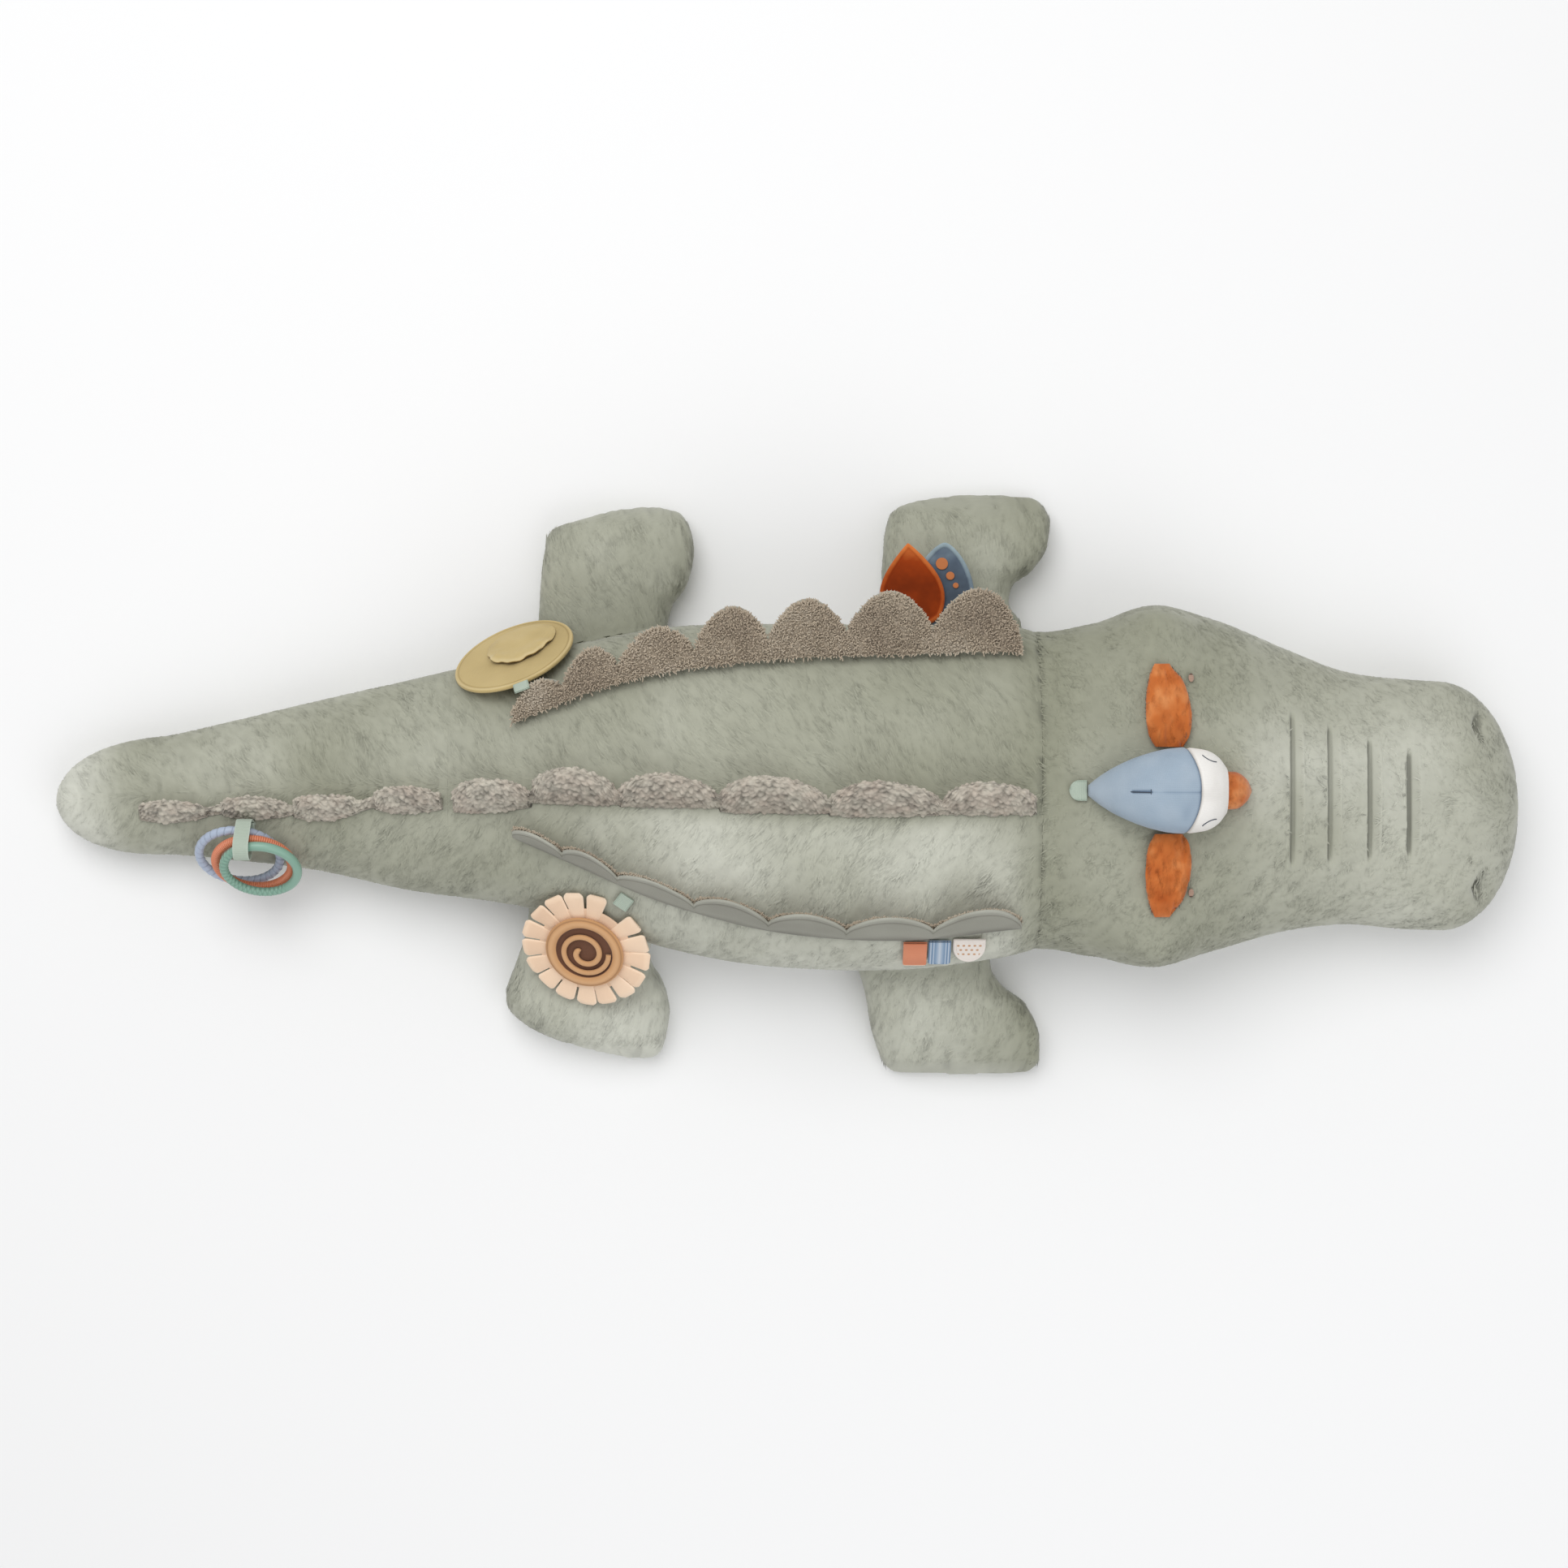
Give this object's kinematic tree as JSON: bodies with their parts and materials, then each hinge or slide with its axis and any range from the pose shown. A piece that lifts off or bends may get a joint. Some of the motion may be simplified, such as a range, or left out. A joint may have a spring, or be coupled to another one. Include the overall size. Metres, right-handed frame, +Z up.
{
  "type": "plush crocodile",
  "caption": "Long stuffed crocodile lying flat, with a scalloped spine, side ridges, plush bird, flower, disc with flap, leaves, tags and rings on ribbons.",
  "frame": {"origin": "on the floor under the middle of the toy's length", "axes": "+X from tail to snout, +Y to the toy's left side, +Z up from the floor"},
  "size_m": [1.151, 0.4645, 0.1917],
  "materials": {
    "fur": "short swept pile, matt",
    "knit": "popcorn knit, matt",
    "terry": "looped terry, matt",
    "cotton": "smooth woven cotton",
    "sage_ribbon": "fine ribbed ribbon",
    "blue_cotton": "woven cotton",
    "white_cotton": "woven cotton",
    "orange_plush": "short dense pile",
    "petal_cotton": "brushed cotton",
    "caramel_cotton": "brushed cotton",
    "mustard_cotton": "woven cotton",
    "rust_velvet": "velvet",
    "blue_velour": "velour",
    "orange_thread": "embroidery thread",
    "brown_thread": "embroidery thread",
    "orange_satin": "satin ribbon",
    "striped_ribbon": "striped woven ribbon",
    "cream_print": "printed cotton",
    "blue_plastic": "satin",
    "orange_plastic": "satin",
    "green_plastic": "satin"
  },
  "bodies": {
    "torso": {"torso": "fur", "spine_ridge_back": "knit", "ridge_left_terry": "terry", "ridge_left_cotton": "cotton", "ridge_right_terry": "terry", "ridge_right_cotton": "cotton", "flower_ribbon": "sage_ribbon", "disc_ribbon": "sage_ribbon"},
    "tail": {"tail": "fur", "spine_ridge_tail": "knit"},
    "head": {"head": "fur", "eye_stitch_left": "brown_thread", "eye_stitch_right": "brown_thread", "bird_ribbon": "sage_ribbon"},
    "bird": {"bird_body": "blue_cotton", "bird_head": "white_cotton", "bird_beak": "orange_plush"},
    "bird_wing_left": {"bird_wing_left": "orange_plush"},
    "bird_wing_right": {"bird_wing_right": "orange_plush"},
    "leg_rear_left": {"leg_rear_left": "fur"},
    "leg_front_left": {"leg_front_left": "fur"},
    "leg_rear_right": {"leg_rear_right": "fur"},
    "leg_front_right": {"leg_front_right": "fur"},
    "ring_ribbon": {"ring_ribbon": "sage_ribbon"},
    "ring_blue": {"ring_blue": "blue_plastic"},
    "ring_orange": {"ring_orange": "orange_plastic"},
    "ring_green": {"ring_green": "green_plastic"},
    "flower": {"flower_petals": "petal_cotton", "flower_disc": "caramel_cotton", "flower_spiral": "caramel_cotton"},
    "disc": {"disc_pad": "mustard_cotton"},
    "disc_flap": {"disc_flap": "mustard_cotton"},
    "leaf_blue": {"leaf_blue": "blue_velour", "leaf_dot_1": "orange_thread", "leaf_dot_2": "orange_thread", "leaf_dot_3": "orange_thread"},
    "leaf_rust": {"leaf_rust": "rust_velvet"},
    "tag_orange": {"tag_orange": "orange_satin"},
    "tag_striped": {"tag_striped": "striped_ribbon"},
    "tag_round": {"tag_round": "cream_print"}
  },
  "joints": [
    {"name": "tail_swing", "type": "hinge", "parent": "torso", "child": "tail", "pos_m": [-0.25702, 0.0078, 0], "axis": [0, 0, 1], "range_deg": [-10, 10]},
    {"name": "head_nod", "type": "hinge", "parent": "torso", "child": "head", "pos_m": [0.19498, 0.00213, 0.14297], "axis": [0, -1, 0], "range_deg": [0, 15]},
    {"name": "leg_rear_left_lift", "type": "hinge", "parent": "torso", "child": "leg_rear_left", "pos_m": [-0.14618, 0.12009, 0.04772], "axis": [0.9781, 0.2079, 0], "range_deg": [0, 20]},
    {"name": "leg_front_left_lift", "type": "hinge", "parent": "torso", "child": "leg_front_left", "pos_m": [0.13237, 0.13237, 0.04772], "axis": [1, 0, 0], "range_deg": [0, 10]},
    {"name": "leg_rear_right_lift", "type": "hinge", "parent": "torso", "child": "leg_rear_right", "pos_m": [-0.15654, -0.10016, 0.04668], "axis": [-0.9659, 0.2588, 0], "range_deg": [0, 6]},
    {"name": "leg_front_right_lift", "type": "hinge", "parent": "torso", "child": "leg_front_right", "pos_m": [0.12086, -0.13513, 0.04772], "axis": [-1, 0, 0], "range_deg": [0, 20]},
    {"name": "bird_lift", "type": "hinge", "parent": "head", "child": "bird", "pos_m": [0.2279, 0.00216, 0.14759], "axis": [0, -1, 0], "range_deg": [0, 90]},
    {"name": "bird_wing_left_flap", "type": "hinge", "parent": "bird", "child": "bird_wing_left", "pos_m": [0.2889, 0.03466, 0.15565], "axis": [1, 0, 0], "range_deg": [0, 60]},
    {"name": "bird_wing_right_flap", "type": "hinge", "parent": "bird", "child": "bird_wing_right", "pos_m": [0.2889, -0.03034, 0.15516], "axis": [-1, 0, 0], "range_deg": [0, 60]},
    {"name": "ring_ribbon_lift", "type": "hinge", "parent": "tail", "child": "ring_ribbon", "pos_m": [-0.41551, -0.02397, 0.07236], "axis": [-1, 0, 0], "range_deg": [0, 7]},
    {"name": "ring_blue_turn", "type": "hinge", "parent": "ring_ribbon", "child": "ring_blue", "pos_m": [-0.4236, -0.04883, 0.06452], "axis": [0, -0.766, 0.6428], "continuous": true},
    {"name": "ring_orange_turn", "type": "hinge", "parent": "ring_ribbon", "child": "ring_orange", "pos_m": [-0.41144, -0.05441, 0.07079], "axis": [0, -0.766, 0.6428], "continuous": true},
    {"name": "ring_green_turn", "type": "hinge", "parent": "ring_ribbon", "child": "ring_green", "pos_m": [-0.40493, -0.05898, 0.07825], "axis": [0, -0.766, 0.6428], "continuous": true},
    {"name": "flower_lift", "type": "hinge", "parent": "torso", "child": "flower", "pos_m": [-0.12277, -0.08383, 0.11719], "axis": [-0.8184, 0.5602, 0.1282], "range_deg": [0, 80]},
    {"name": "disc_lift", "type": "hinge", "parent": "torso", "child": "disc", "pos_m": [-0.19917, 0.08192, 0.13036], "axis": [0.9326, 0.361, 0], "range_deg": [0, 80]},
    {"name": "disc_flap_lift", "type": "hinge", "parent": "disc", "child": "disc_flap", "pos_m": [-0.20867, 0.12796, 0.05066], "axis": [-0.9326, -0.361, 0], "range_deg": [0, 90]},
    {"name": "leaf_blue_lift", "type": "hinge", "parent": "torso", "child": "leaf_blue", "pos_m": [0.12178, 0.13381, 0.08074], "axis": [0.9986, -0.052, 0.0055], "range_deg": [0, 15]},
    {"name": "leaf_rust_lift", "type": "hinge", "parent": "leaf_blue", "child": "leaf_rust", "pos_m": [0.10025, 0.13332, 0.08508], "axis": [0.9976, 0.0694, -0.0073], "range_deg": [0, 12]},
    {"name": "tag_orange_lift", "type": "hinge", "parent": "torso", "child": "tag_orange", "pos_m": [0.09968, -0.11453, 0.12497], "axis": [-1, 0, 0], "range_deg": [0, 60]},
    {"name": "tag_striped_lift", "type": "hinge", "parent": "torso", "child": "tag_striped", "pos_m": [0.11844, -0.11342, 0.12433], "axis": [-1, 0, 0], "range_deg": [0, 60]},
    {"name": "tag_round_lift", "type": "hinge", "parent": "torso", "child": "tag_round", "pos_m": [0.14088, -0.11177, 0.12296], "axis": [-1, 0, 0], "range_deg": [0, 60]}
  ]
}
